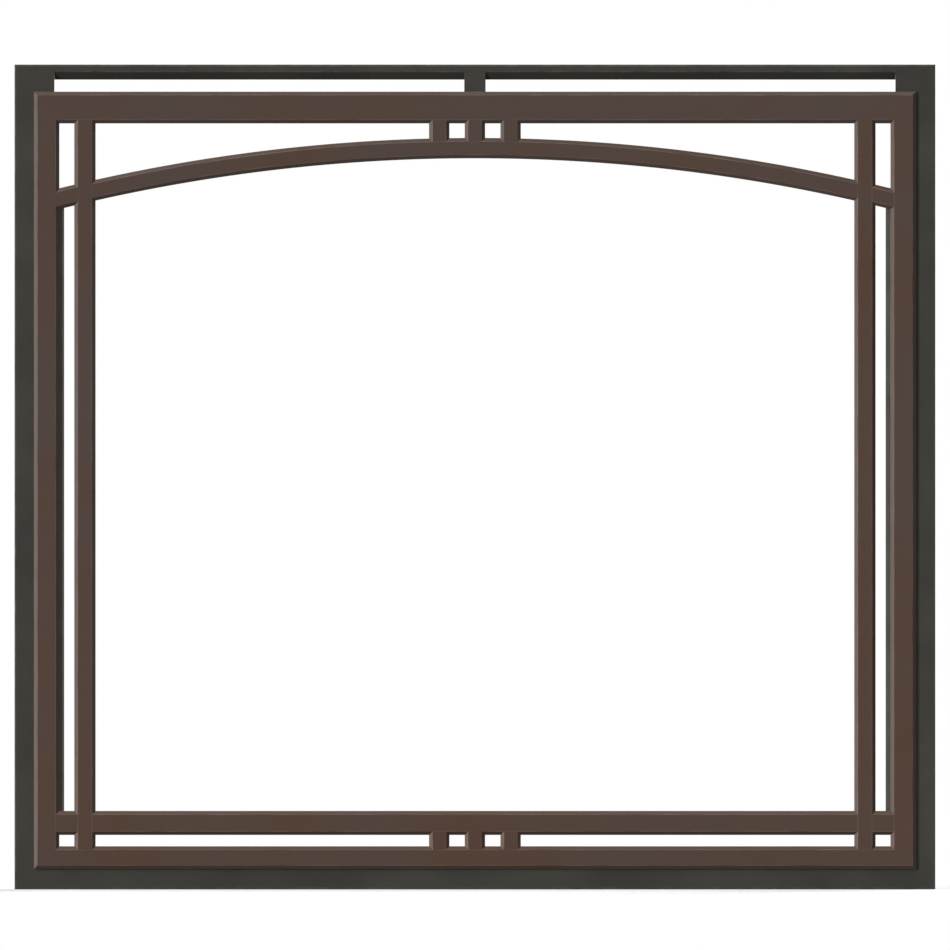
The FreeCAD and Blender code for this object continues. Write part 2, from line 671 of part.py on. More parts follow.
for word, side in SIDES.items():
    surround_stile(word, side)
surround_top_rail()
surround_header()
surround_bottom_rail()
vent_strut()
top_web = (f"({TOP} - sheet_gauge - splice_gauge)", f"({TOP} - sheet_gauge)")
behind_sheet = (SHEET_BACK, f"({SHEET_BACK} + splice_gauge)")
header_inside = (f"({HEADER_BOTTOM} + sheet_gauge)", f"({HEADER_TOP} - sheet_gauge)")
bottom_inside = (f"({BOTTOM} + sheet_gauge)", f"({BOTTOM} + surround_bottom_face)")
splice_plates("top_splice_plates", clear_of_folds(SHEET_BACK, "(-sheet_gauge)"), top_web)
splice_plates("header_splice_plates", behind_sheet, clear_of_folds(*header_inside))
splice_plates("bottom_splice_plates", behind_sheet, clear_of_folds(*bottom_inside))

upward = (RAIL_UNDERSIDE, f"({RAIL_UNDERSIDE} + tenon_length + joint_clearance)")
downward = (f"({RAIL_UPPERSIDE} - tenon_length - joint_clearance)", RAIL_UPPERSIDE)
face_rail("face_top_rail", FACE_TOP, RAIL_UNDERSIDE, mortise_z=upward)
face_rail("face_bottom_rail", FACE_BOTTOM, RAIL_UPPERSIDE, mortise_z=downward)
for (word, side), middle in zip(SIDES.items(), MULLION_MIDDLES):
    face_stile(word, side)
    mullion(word, side, middle)
arch_bar()
sill_bar()
for word, middle in zip(STRUTS, STRUT_MIDDLES):
    top_strut(word, middle)
    bottom_strut(word, middle)
rim()
hanger_studs()
rim_screws()

# Check and write every sub-part

doc.recompute()
for item in doc.Objects:
    if "Invalid" in item.State or "Error" in item.State:
        raise RuntimeError(f"{item.Name} did not build: {item.State}")
    if item.TypeId == "PartDesign::Pocket":
        if item.Shape.Volume > item.BaseFeature.Shape.Volume - LEAST_CUT:
            raise RuntimeError(f"{item.Name} cuts nothing")

os.makedirs(PARTS_FOLDER, exist_ok=True)
for item in subparts:
    shape = item.Shape
    if shape.isNull() or not shape.isValid() or not shape.Solids:
        raise RuntimeError(f"{item.Label} has no valid solid")
    shape.exportStep(os.path.join(PARTS_FOLDER, f"{item.Label}.step"))
    box = shape.BoundBox
    print(
        f"{item.Label}: {len(shape.Solids)} solid(s), {shape.Volume / 1000:.1f} cm3,"
        f" {box.XLength:.1f} x {box.YLength:.1f} x {box.ZLength:.1f} mm"
    )
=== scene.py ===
"""The looks of a gas-fireplace front: a charcoal sheet-steel surround and a bronze-coated bar face.

Metres. X runs to the viewer's right, Y from the room into the firebox, Z up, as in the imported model.
"""

import math

import bmesh
import bpy
import numpy as np
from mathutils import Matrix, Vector


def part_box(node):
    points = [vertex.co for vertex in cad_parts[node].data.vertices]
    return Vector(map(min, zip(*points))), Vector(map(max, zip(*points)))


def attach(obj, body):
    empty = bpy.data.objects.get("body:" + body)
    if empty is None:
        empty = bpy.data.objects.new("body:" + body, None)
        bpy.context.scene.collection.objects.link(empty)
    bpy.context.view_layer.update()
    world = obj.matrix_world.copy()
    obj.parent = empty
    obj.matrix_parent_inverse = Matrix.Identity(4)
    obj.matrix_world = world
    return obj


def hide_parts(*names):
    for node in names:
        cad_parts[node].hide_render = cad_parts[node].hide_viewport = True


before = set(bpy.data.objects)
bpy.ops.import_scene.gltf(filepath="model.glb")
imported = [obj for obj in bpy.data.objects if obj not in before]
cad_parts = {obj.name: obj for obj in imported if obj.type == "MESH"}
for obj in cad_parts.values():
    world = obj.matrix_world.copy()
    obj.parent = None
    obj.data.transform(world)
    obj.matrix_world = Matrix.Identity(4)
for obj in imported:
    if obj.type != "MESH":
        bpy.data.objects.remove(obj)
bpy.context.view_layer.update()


# Surround stiles
# Folded trays of 1.5 mm steel sheet at both sides, screwed through their rear flanges to the firebox.
# They are powder coated in charcoal with a fine, matt texture that is slightly cloudy.

CHARCOAL_DARK = (57, 56, 52)
CHARCOAL_LIGHT = (66, 65, 60)
# lighter colour of the arrises: partly rubbed wear, partly a painted highlight along the edges
CHARCOAL_RUBBED_AND_SHEEN = (86, 85, 80)
CHARCOAL_GLOSS = 0.06  # specular level, low for a matt coat
CHARCOAL_ROUGHNESS = (0.80, 0.95)
CHARCOAL_CLOUDS = 14.0  # clouds of tone per metre
CHARCOAL_GRAIN = 1500.0  # grains of texture per metre
CHARCOAL_GRAIN_HEIGHT = 0.00012
CLOUD_DETAIL = 6.0
RUBS_PER_CLOUD = 6.0
RUBBED_AND_SHEEN_MOST = 0.8  # share of the lighter arris colour, partly wear and partly painted highlight, where it is strongest
GRAIN_DETAIL = 2.0
GRAIN_STRENGTH = 0.6
NOISE_LOW, NOISE_HIGH = 0.3, 0.7  # most of a noise's tones lie between these
COLOUR_STEPS = 255
CURVE_KNEE, CURVE_SLOPE = 0.04045, 12.92  # a screen's curve is straight below its knee
CURVE_OFFSET, CURVE_POWER = 0.055, 2.4
FOLD_OUTSIDE = 0.0020
SAME_PLACE = 1e-6


def linear(colour):
    """A colour written in screen steps, as the linear light that a shader socket takes.

    Below the knee its share of the steps is divided by the slope, and above it the light is
    ((share + offset) / (1 + offset)) ^ power.
    """
    share = np.array(colour) / COLOUR_STEPS
    curved = ((share + CURVE_OFFSET) / (1 + CURVE_OFFSET)) ** CURVE_POWER
    light = np.where(share <= CURVE_KNEE, share / CURVE_SLOPE, curved)
    return (*light.tolist(), 1.0)


def add_node(tree, kind, **inputs):
    """A shader node with its inputs set: an output socket is linked, anything else is a value.

    An input's name is written with underscores for its spaces.
    """
    made = tree.nodes.new(kind)
    for name, value in inputs.items():
        socket = made.inputs[name.replace("_", " ")]
        if isinstance(value, bpy.types.NodeSocket):
            tree.links.new(value, socket)
        else:
            socket.default_value = value
    return made


def noise(tree, place, scale, detail):
    """Soft random tones from 0 to 1, that many to the metre."""
    made = add_node(tree, "ShaderNodeTexNoise", Vector=place, Scale=scale, Detail=detail)
    return made.outputs["Fac"]


def between(tree, value, low, high, start=NOISE_LOW, end=NOISE_HIGH):
    """Carries a tone from the stretch start to end over to the stretch low to high."""
    made = add_node(
        tree, "ShaderNodeMapRange", Value=value, From_Min=start, From_Max=end, To_Min=low, To_Max=high
    )
    return made.outputs["Result"]


def times(tree, first, second):
    """The product of two tones."""
    made = tree.nodes.new("ShaderNodeMath")
    made.operation = "MULTIPLY"
    for socket, value in zip(made.inputs, (first, second)):
        tree.links.new(value, socket)
    return made.outputs["Value"]


def blend_colours(tree, share, first, second):
    """The first colour where the share is 0 and the second where it is 1."""
    made = tree.nodes.new("ShaderNodeMix")
    made.data_type = "RGBA"
    tree.links.new(share, made.inputs["Factor"])
    colour_sockets = [socket for socket in made.inputs if socket.type == "RGBA"]
    for socket, colour in zip(colour_sockets, (first, second)):
        if isinstance(colour, bpy.types.NodeSocket):
            tree.links.new(colour, socket)
        else:
            socket.default_value = linear(colour)
    return next(socket for socket in made.outputs if socket.type == "RGBA")


def new_finish(name):
    """A new material, its nodes, its shader, and the place on the piece that its patterns follow."""
    material = bpy.data.materials.new(name)
    material.use_nodes = True
    tree = material.node_tree
    place = tree.nodes.new("ShaderNodeTexCoord").outputs["Object"]
    return material, tree, tree.nodes["Principled BSDF"], place


def cover(tree, shader, colour, grains, roughness, height, strength):
    """Gives a shader its colour, and a roughness and a relief that follow the grains."""
    relief = add_node(tree, "ShaderNodeBump", Height=grains, Distance=height, Strength=strength)
    tree.links.new(colour, shader.inputs["Base Color"])
    tree.links.new(between(tree, grains, *roughness), shader.inputs["Roughness"])
    tree.links.new(relief.outputs["Normal"], shader.inputs["Normal"])


def coat_material(name, tones, rubbed_and_sheen, clouds, grain, grain_height, gloss, roughness):
    """A sprayed coat: clouds between two tones, lighter along arrises, over a fine grain.

    The attribute "edge" is 1 on a piece's rounded arrises, and patches break the lightening up. The
    lighter arrises are partly rubbed wear and partly a painted highlight along the edges.
    """
    material, tree, shader, place = new_finish(name)
    arris = tree.nodes.new("ShaderNodeAttribute")
    arris.attribute_name = "edge"
    cloud = between(tree, noise(tree, place, clouds, CLOUD_DETAIL), 0.0, 1.0)
    patch = between(tree, noise(tree, place, clouds * RUBS_PER_CLOUD, CLOUD_DETAIL), 0.0, RUBBED_AND_SHEEN_MOST)
    grains = noise(tree, place, grain, GRAIN_DETAIL)
    coat = blend_colours(tree, cloud, *tones)
    # the arrises are lightened partly as wear and partly as a painted highlight
    worn_and_sheen = times(tree, arris.outputs["Fac"], patch)
    colour = blend_colours(tree, worn_and_sheen, coat, rubbed_and_sheen)
    cover(tree, shader, colour, grains, roughness, grain_height, GRAIN_STRENGTH)
    shader.inputs["Specular IOR Level"].default_value = gloss
    return material


charcoal_coat = coat_material(
    "charcoal_powder_coat",
    (CHARCOAL_DARK, CHARCOAL_LIGHT),
    CHARCOAL_RUBBED_AND_SHEEN,
    CHARCOAL_CLOUDS,
    CHARCOAL_GRAIN,
    CHARCOAL_GRAIN_HEIGHT,
    CHARCOAL_GLOSS,
    CHARCOAL_ROUGHNESS,
)


def corners_of(node):
    """A node's lowest and highest corners as two arrays."""
    return [np.array(corner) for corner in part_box(node)]


def points_of(mesh):
    """The places of a mesh's points, one row each."""
    places = np.empty(3 * len(mesh.vertices), np.float32)
    mesh.vertices.foreach_get("co", places)
    return places.reshape(-1, 3)


def merge_points(mesh):
    """Joins the points of a mesh that lie in one place."""
    shaped = bmesh.new()
    shaped.from_mesh(mesh)
    bmesh.ops.remove_doubles(shaped, verts=shaped.verts, dist=SAME_PLACE)
    shaped.to_mesh(mesh)
    shaped.free()


def mark_arrises(mesh, edge):
    """Keeps how much of an arris each point of a mesh is, for the coat's lighter arrises (wear and
    painted highlight).
    """
    arris = mesh.attributes.new("edge", "FLOAT", "POINT")
    arris.data.foreach_set("value", np.ravel(edge).astype(np.float32))


def show(name, contents):
    """A new object at the origin that holds a mesh, a lamp or a lens."""
    shown = bpy.data.objects.new(name, contents)
    bpy.context.scene.collection.objects.link(shown)
    return shown


def dress(piece, material, body, slot, *nodes):
    """Coats a new piece, hangs it from the body that it moves with, and hides the nodes that it stands
    for.

    The slot, the name of its finish, is not used.
    """
    piece.data.materials.append(material)
    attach(piece, body)
    if nodes:
        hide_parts(*nodes)


def folded_tray(node):
    """A stile's sheet with its holes, as one joined surface, and its outer folds marked as arrises.

    A point is on a fold where its distances behind the front and inside the nearest outer edge both lie
    between nothing and the fold's radius.
    """
    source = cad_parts[node].data
    corner_points = np.empty(len(source.loops), np.int32)
    source.loops.foreach_get("vertex_index", corner_points)
    mesh = bpy.data.meshes.new(f"{node}_tray")
    mesh.from_pydata(points_of(source).tolist(), [], corner_points.reshape(-1, 3).tolist())
    merge_points(mesh)
    points = points_of(mesh)
    low, high = corners_of(node)
    outer = np.maximum(np.abs(low), np.abs(high))
    behind_front = points[:, 1] - low[1]
    inside_edge = (outer - np.abs(points))[:, [0, 2]].min(1)
    nearest = np.minimum(behind_front, inside_edge)
    furthest = np.maximum(behind_front, inside_edge)
    mark_arrises(mesh, (nearest > SAME_PLACE) & (furthest < FOLD_OUTSIDE - SAME_PLACE))
    dress(show(f"{node}_tray", mesh), charcoal_coat, "surround", "charcoal_sheet", node)


folded_tray("surround_left_stile")
folded_tray("surround_right_stile")


# Surround rails
# The level bands of the surround: the same sheet, folded on a press to one profile and cut to length.
# The top band's lower edge is folded back over the warm-air slot, and the header below it is a channel.

SHEET = 0.0015
FOLD_INSIDE = FOLD_OUTSIDE - SHEET
CUT_EDGE = 0.0003  # rounding of the sheet's cut edges
LIP_HEIGHT = 0.0085
TOP_FLANGE = 0.014
BOTTOM_FLANGE = 0.024
ARC_STEPS = 4
GUARD = 0.0002  # flat beside a rounding that keeps its smooth shading off the wide faces
SMOOTH_BELOW = math.radians(32)


def square_to(direction):
    """Directions in a plane turned a quarter to the left."""
    return np.stack([-direction[..., 1], direction[..., 0]], -1)


def rounded_outline(corners, radii):
    """A closed outline with an arc at each corner, and which of its points lie on the arcs.

    An arc of radius r turns from one side to the next about a centre that lies r to the left or right of
    its start, and it starts r * tan(turn / 2) before the corner. A guard point lies beyond each arc end.
    """
    corners = np.array(corners, float)
    radii = np.broadcast_to(radii, len(corners))[:, None]
    sides = np.roll(corners, -1, 0) - corners
    leaving = sides / np.linalg.norm(sides, axis=1, keepdims=True)
    coming = np.roll(leaving, 1, 0)
    crossing = (square_to(coming) * leaving).sum(1, keepdims=True)
    turn = np.arctan2(crossing, (coming * leaving).sum(1, keepdims=True))
    start = corners - coming * radii * np.tan(np.abs(turn) / 2)
    end = corners + leaving * radii * np.tan(np.abs(turn) / 2)
    to_centre = square_to(coming) * np.sign(turn) * radii
    angle = turn[:, None] * np.linspace(0, 1, ARC_STEPS + 1)[:, None]
    spoke = -to_centre[:, None]
    arcs = (start + to_centre)[:, None] + spoke * np.cos(angle) + square_to(spoke) * np.sin(angle)
    before = (start - coming * GUARD)[:, None]
    after = (end + leaving * GUARD)[:, None]
    outline = np.concatenate([before, arcs, after], 1)
    on_arc = np.ones(outline.shape[:2])
    on_arc[:, [0, -1]] = 0
    return outline.reshape(-1, 2), on_arc.reshape(-1)


def drawn_in(outline, inset):
    """The same outline moved inwards, each point along its normal."""
    along = np.roll(outline, -1, 0) - np.roll(outline, 1, 0)
    inward = square_to(along / np.linalg.norm(along, axis=1, keepdims=True))
    area = (outline * square_to(np.roll(outline, 1, 0))).sum()
    return outline + inward * inset * np.sign(area)


def closed_piece(name, grids, edge):
    """A piece of closed tubes from grids of (copies, rows, points round the row, 3).

    Quads join each row to the next, and one face closes each end. The sum of the triangles' triple
    products is six times the volume, and where it is below zero the faces are turned outwards.
    """
    grids = np.asarray(grids, float)
    if grids.ndim == 3:
        grids = grids[None]
    copies, rows, around = grids.shape[:3]
    index = np.arange(copies * rows * around).reshape(copies, rows, around)
    here, there = index[:, :-1], index[:, 1:]
    quads = np.stack([here, np.roll(here, -1, 2), np.roll(there, -1, 2), there], -1).reshape(-1, 4)
    caps = np.concatenate([index[:, 0, ::-1], index[:, -1]])
    points = grids.reshape(-1, 3)
    first_points = np.repeat(caps[:, :1], around - 2, 1)
    fans = np.stack([first_points, caps[:, 1:-1], caps[:, 2:]], -1).reshape(-1, 3)
    triangles = points[np.concatenate([quads[:, [0, 1, 2]], quads[:, [0, 2, 3]], fans])]
    six_volumes = (triangles[:, 0] * np.cross(triangles[:, 1], triangles[:, 2])).sum()
    way = 1 if six_volumes > 0 else -1
    mesh = bpy.data.meshes.new(name)
    mesh.from_pydata(points.tolist(), [], quads[:, ::way].tolist() + caps[:, ::way].tolist())
    mark_arrises(mesh, np.broadcast_to(edge, grids.shape[:3]))
    merge_points(mesh)
    mesh.polygons.foreach_set("use_smooth", np.ones(len(mesh.polygons), bool))
    mesh.set_sharp_from_angle(angle=SMOOTH_BELOW)
    return show(name, mesh)


def along_x(profile, ends, inset=0.0):
    """A profile of (y, z) points carried straight along X, drawn in at its ends if they are softened."""
    low, high = ends
    places = [(low + inset, profile), (high - inset, profile)]
    if inset:
        slim = drawn_in(profile, inset)
        places = [(low, slim), *places, (high, slim)]
    return np.stack([np.column_stack([np.full(len(outline), x), outline]) for x, outline in places])


def folded_rail(node, profile, radii):
    """One folded rail, cut square at both ends, where the coat fills its tight seams."""
    low, high = corners_of(node)
    outline, edge = rounded_outline(profile, radii)
    rail = closed_piece(f"{node}_sheet", along_x(outline, (low[0], high[0])), edge)
    dress(rail, charcoal_coat, "surround", "charcoal_sheet", node)


(_, front, slot_top), (seam, rear, top) = corners_of("surround_top_rail")
sheet_back = front + SHEET
lip_slant = SHEET * math.sqrt(2)
folded_rail(
    "surround_top_rail",
    [
        (front, top),
        (rear, top),
        (rear, top - TOP_FLANGE),
        (rear - SHEET, top - TOP_FLANGE),
        (rear - SHEET, top - SHEET),
        (sheet_back, top - SHEET),
        (sheet_back, slot_top + LIP_HEIGHT + lip_slant - SHEET),
        (front + LIP_HEIGHT + lip_slant, slot_top),
        (front + LIP_HEIGHT, slot_top),
        (front, slot_top + LIP_HEIGHT),
    ],
    [FOLD_OUTSIDE, FOLD_OUTSIDE, CUT_EDGE, CUT_EDGE, FOLD_INSIDE]
    + [FOLD_INSIDE, FOLD_INSIDE, CUT_EDGE, CUT_EDGE, FOLD_OUTSIDE],
)

(_, _, header_bottom), (_, header_rear, header_top) = corners_of("surround_header")
folded_rail(
    "surround_header",
    [
        (front, header_top),
        (header_rear, header_top),
        (header_rear, header_top - SHEET),
        (sheet_back, header_top - SHEET),
        (sheet_back, header_bottom + SHEET),
        (header_rear, header_bottom + SHEET),
        (header_rear, header_bottom),
        (front, header_bottom),
    ],
    [FOLD_OUTSIDE, CUT_EDGE, CUT_EDGE, FOLD_INSIDE, FOLD_INSIDE, CUT_EDGE, CUT_EDGE, FOLD_OUTSIDE],
)

(_, _, bottom), (_, _, bottom_band_top) = corners_of("surround_bottom_rail")
folded_rail(
    "surround_bottom_rail",
    [
        (front, bottom),
        (rear, bottom),
        (rear, bottom + BOTTOM_FLANGE),
        (rear - SHEET, bottom + BOTTOM_FLANGE),
        (rear - SHEET, bottom + SHEET),
        (sheet_back, bottom + SHEET),
        (sheet_back, bottom_band_top),
        (front, bottom_band_top),
    ],
    [FOLD_OUTSIDE, FOLD_OUTSIDE, CUT_EDGE, CUT_EDGE, FOLD_INSIDE, FOLD_INSIDE, CUT_EDGE, CUT_EDGE],
)


# Vent strut
# A steel spacer in the middle of the warm-air slot, welded between the top band and the header.
# Its upper front edge is cut back to the slope of the lip, and it is coated with the rest.

SPACER_ARRIS = 0.0006

spacer_low, spacer_high = corners_of("vent_strut")
spacer_outline, spacer_edge = rounded_outline(
    [
        (front, spacer_low[2]),
        (spacer_high[1], spacer_low[2]),
        (spacer_high[1], slot_top),
        (front + LIP_HEIGHT, slot_top),
        (front, slot_top + LIP_HEIGHT),
    ],
    SPACER_ARRIS,
)
spacer_rows = along_x(spacer_outline, (spacer_low[0], spacer_high[0]), SPACER_ARRIS / 2)
spacer = closed_piece("vent_strut_spacer", spacer_rows, spacer_edge)
dress(spacer, charcoal_coat, "surround", "charcoal_sheet", "vent_strut")


# Splice plates
# Flat plates inside the butt seams of the surround, held to the sheet on both sides by spot welds.
# Each weld leaves a round dent with a pressed-up rim, and the coat covers it.

PLATE_ARRIS = 0.0004
WELD_RADIUS = 0.0026
WELD_RIM = 0.0005
WELD_HEIGHT = 0.00022
WELD_HOLLOW = 0.000044  # height of the dent's middle above the plate
WELD_POINTS = 24
WELD_PLACES = (-0.018, -0.009, 0.009, 0.018)  # along a plate, from its seam
WELD_ROWS = {
    # each plate's rows of welds, as shares of its width
    "top_splice_plates": (0.5,),
    "header_splice_plates": (0.5,),
    "bottom_splice_plates": (0.28, 0.72),
}
weld_shape = [
    # radius, height above the plate, and whether it is an arris
    (WELD_RADIUS + WELD_RIM, -WELD_HEIGHT, 0),
    (WELD_RADIUS + WELD_RIM, 0.0, 0),
    (WELD_RADIUS + WELD_RIM / 2, WELD_HEIGHT, 1),
    (WELD_RADIUS, WELD_HEIGHT / 2, 0),
    (WELD_RADIUS / 2, WELD_HOLLOW, 0),
]


def rings_along_y(radii, depths, points):
    """Rings about Y: ring i has the radius of row i at each angle, and stands at its depth."""
    angle = np.linspace(0, 2 * math.pi, points, endpoint=False)
    radii = np.broadcast_to(np.array(radii, float).reshape(len(depths), -1), (len(depths), points))
    depths = np.broadcast_to(np.array(depths, float)[:, None], radii.shape)
    return np.stack([radii * np.cos(angle), depths, radii * np.sin(angle)], -1)


def splice_pair(node):
    """Both plates of a node, each a rounded rectangle in (y, z) carried along X across its seam."""
    low, high = corners_of(node)
    half = high[0] - seam
    corners = [(low[1], low[2]), (high[1], low[2]), (high[1], high[2]), (low[1], high[2])]
    outline, edge = rounded_outline(corners, PLATE_ARRIS)
    pair = [along_x(outline, (side * seam - half, side * seam + half), PLATE_ARRIS) for side in (-1, 1)]
    dress(closed_piece(f"{node}_pair", pair, edge), charcoal_coat, "surround", "charcoal_sheet", node)
    return low, high


weld_radii, weld_heights, weld_edge = zip(*weld_shape)
mark_to_rear = rings_along_y(weld_radii, weld_heights, WELD_POINTS)
mark_downwards = mark_to_rear[..., [0, 2, 1]] * (1, 1, -1)
weld_marks = []
for node, shares in WELD_ROWS.items():
    low, high = splice_pair(node)
    spots = []
    for share in shares:
        _, y, z = low + share * (high - low)
        spots += [(side * seam + x, y, z) for side in (-1, 1) for x in WELD_PLACES]
    spots = np.array(spots)
    if node == "top_splice_plates":
        spots[:, 2] = low[2]
        weld_marks.append(mark_downwards + spots[:, None, None])
    else:
        spots[:, 1] = high[1]
        weld_marks.append(mark_to_rear + spots[:, None, None])
weld_dents = closed_piece("splice_weld_marks", np.concatenate(weld_marks), np.array(weld_edge)[:, None])
dress(weld_dents, charcoal_coat, "surround", "charcoal_sheet")


# Rim
# Slim flat bar behind the face frame, round the fire opening: an arched head, two legs and a foot.
# It is coated in charcoal, painted lighter than the surround's to lift the shade that the stiles cast on
# it, and held to the arch and the sill by screws from behind.

# tones painted lighter to make up for the stiles' shadow; the arris colour is partly wear, partly
# painted highlight
RIM_DARK_SHADE_LIFTED = (72, 71, 67)
RIM_LIGHT_SHADE_LIFTED = (84, 83, 79)
RIM_RUBBED_AND_SHEEN = (104, 103, 98)
RIM_WIDTH = 0.010
RIM_ARRIS = 0.0005
RIM_CLOUDS = 30.0
RIM_ROUGHNESS = (0.50, 0.70)
ARCH_RISE = 0.0555  # crown above the arch's ends, on its upper edge
ARCH_WIDTH = 0.0225
ARCH_ROWS = 65

(_, bar_back, foot_bottom), (rim_outer, rim_back, foot_top) = corners_of("rim_bottom_leg")
arch_crown = corners_of("arch_bar")[1][2]
stile_edge = corners_of("face_right_stile")[0][0]
arch_radius = (stile_edge**2 + ARCH_RISE**2) / (2 * ARCH_RISE)
arch_centre = arch_crown - arch_radius
rim_radius = arch_radius - ARCH_WIDTH / 2


def on_arch(radius, x):
    """Height at x of the circle of that radius about the arch's centre."""
    return arch_centre + np.sqrt(radius**2 - x**2)


def flat_bar(low, high):
    """The rim's section as (across, depth): a rectangle with rounded arrises."""
    corners = [(low, bar_back), (high, bar_back), (high, rim_back), (low, rim_back)]
    return rounded_outline(corners, RIM_ARRIS)


charcoal_rim = coat_material(
    "charcoal_rim_coat_shade_lifted",
    (RIM_DARK_SHADE_LIFTED, RIM_LIGHT_SHADE_LIFTED),
    RIM_RUBBED_AND_SHEEN,
    RIM_CLOUDS,
    CHARCOAL_GRAIN,
    CHARCOAL_GRAIN_HEIGHT,
    CHARCOAL_GLOSS,
    RIM_ROUGHNESS,
)


def rim_strip(node, rows, edge):
    """One coated strip of the rim, from its rows of points."""
    dress(closed_piece(f"{node}_strip", rows, edge), charcoal_rim, "face_frame", "charcoal_rim", node)


foot_section, foot_edge = flat_bar(foot_bottom, foot_top)
foot_rows = along_x(foot_section[:, ::-1], (-rim_outer, rim_outer), RIM_ARRIS)
rim_strip("rim_bottom_leg", foot_rows, foot_edge)

head_section, head_edge = flat_bar(rim_radius - RIM_WIDTH / 2, rim_radius + RIM_WIDTH / 2)
head_x = np.linspace(-rim_outer, rim_outer, ARCH_ROWS)[:, None] + np.zeros(len(head_section))
head_y = np.broadcast_to(head_section[:, 1], head_x.shape)
head_rows = np.stack([head_x, head_y, on_arch(head_section[:, 0], head_x)], -1)
rim_strip("rim_arch_head", head_rows, head_edge)

for side in ("left", "right"):
    leg_low, leg_high = corners_of(f"rim_{side}_leg")
    leg_section, leg_edge = flat_bar(leg_low[0], leg_high[0])
    leg_foot = np.full(len(leg_section), foot_top)
    leg_head = on_arch(rim_radius - RIM_WIDTH / 2, leg_section[:, 0])
    leg_rows = [np.column_stack([leg_section, height]) for height in (leg_foot, leg_head)]
    rim_strip(f"rim_{side}_leg", leg_rows, leg_edge)


# Face frame outline
# Two rails and two stiles of flat steel bar, chamfered along both front edges, mitred and welded flush.
# The face has a dark bronze satin coat, a little lighter along its arrises, partly as rubbed wear and
# partly as a painted highlight.

BRONZE_RED = (76, 57, 46)
BRONZE_GREY = (73, 62, 57)
# lighter colour of the bar arrises: partly rubbed wear, partly a painted highlight along the edges
BRONZE_RUBBED_AND_SHEEN = (114, 104, 96)
BRONZE_GLOSS = 0.13
BRONZE_ROUGHNESS = (0.38, 0.50)
BRONZE_CLOUDS = 6.0
BRONZE_GRAIN = 900.0
BRONZE_GRAIN_HEIGHT = 0.00004
BAR_CHAMFER = 0.0038
BAR_ARRIS = 0.0007
BAR_BACK_ARRIS = 0.0006
MITRE_SQUARE = 0.006  # the mitre runs at 45 degrees this far in from both corners

(_, bar_front, rail_underside), (face_right, _, face_top) = corners_of("face_top_rail")
(_, _, face_bottom), (_, _, rail_upperside) = corners_of("face_bottom_rail")
bar_shoulder = bar_front + BAR_CHAMFER
bar_middle = (bar_front + bar_back) / 2
stile_width = face_right - stile_edge

bronze_coat = coat_material(
    "bronze_satin_coat",
    (BRONZE_RED, BRONZE_GREY),
    BRONZE_RUBBED_AND_SHEEN,
    BRONZE_CLOUDS,
    BRONZE_GRAIN,
    BRONZE_GRAIN_HEIGHT,
    BRONZE_GLOSS,
    BRONZE_ROUGHNESS,
)


def bar_section(low, high):
    """A flat bar's outline as (across, depth): square at the back, chamfered at the front."""
    corners = [
        (low, bar_back),
        (high, bar_back),
        (high, bar_shoulder),
        (high - BAR_CHAMFER, bar_front),
        (low + BAR_CHAMFER, bar_front),
        (low, bar_shoulder),
    ]
    radii = [BAR_BACK_ARRIS] * 2 + [BAR_ARRIS] * 4
    return rounded_outline(corners, radii)


def bronze_bar(node, rows, edge):
    """One coated bar of the face, from its rows of points."""
    dress(closed_piece(f"{node}_bar", rows, edge), bronze_coat, "face_frame", "bronze_bar", node)


def mitre(inwards, width, other_width):
    """How far a mitred bar's end stops short, at a distance in from its outer edge.

    It grows as fast as that distance beside both edges, so that the chamfers meet, and evenly between.
    """
    nearby = [0.0, MITRE_SQUARE, width - MITRE_SQUARE, width]
    short = [0.0, MITRE_SQUARE, other_width - MITRE_SQUARE, other_width]
    return np.interp(inwards, nearby, short)


for node, outer, inner in (
    ("face_top_rail", face_top, rail_underside),
    ("face_bottom_rail", face_bottom, rail_upperside),
):
    section, edge = bar_section(min(outer, inner), max(outer, inner))
    reach = face_right - mitre(np.abs(section[:, 0] - outer), abs(outer - inner), stile_width)
    rail_rows = [np.column_stack([x, section[:, 1], section[:, 0]]) for x in (-reach, reach)]
    bronze_bar(node, rail_rows, edge)

for side, sign in (("left", -1), ("right", 1)):
    node = f"face_{side}_stile"
    section, edge = bar_section(*sorted((sign * stile_edge, sign * face_right)))
    inwards = face_right - np.abs(section[:, 0])
    low_end = face_bottom + mitre(inwards, stile_width, rail_upperside - face_bottom)
    high_end = face_top - mitre(inwards, stile_width, face_top - rail_underside)
    stile_rows = [np.column_stack([section, z]) for z in (low_end, high_end)]
    bronze_bar(node, stile_rows, edge)


# Mullions
# Two inner uprights of the same chamfered bar, from rail to rail.
# They are halved at the back to pass in front of the arch and the sill, and welded flush with both.


def over_chamfer(depth):
    """How far a bar's end runs up its neighbour's chamfer, at a depth.

    It is as far as the depth lies in front of the chamfer's shoulder.
    """
    return np.clip(bar_shoulder - depth, 0, BAR_CHAMFER)


(_, _, sill_bottom), (_, _, sill_top) = corners_of("sill_bar")
arch_inner = arch_radius - ARCH_WIDTH
for side in ("left", "right"):
    node = f"{side}_mullion"
    (mullion_low, _, _), (mullion_high, _, _) = corners_of(node)
    section, edge = bar_section(mullion_low, mullion_high)
    across, depth = section.T
    front_half = np.minimum(depth, bar_middle)
    arch_under = on_arch(arch_inner, across)
    arch_over = on_arch(arch_radius, across)
    mullion_rows = []
    for height, shape in (
        (rail_upperside - over_chamfer(depth), depth),
        (sill_bottom, depth),
        (sill_bottom, front_half),
        (sill_top, front_half),
        (sill_top, depth),
        (arch_under, depth),
        (arch_under, front_half),
        (arch_over, front_half),
        (arch_over, depth),
        (rail_underside + over_chamfer(depth), depth),
    ):
        mullion_rows.append(np.column_stack([across, shape, np.broadcast_to(height, len(across))]))
    bronze_bar(node, mullion_rows, edge)


# Arch and sill bars
# The curved bar below the top rail and the level bar above the bottom rail, both from stile to stile.
# They are halved at the front under the mullions, and their ends are scribed to the stiles' chamfers.

(mullion_inner, _, _), (mullion_outer, _, _) = corners_of("right_mullion")


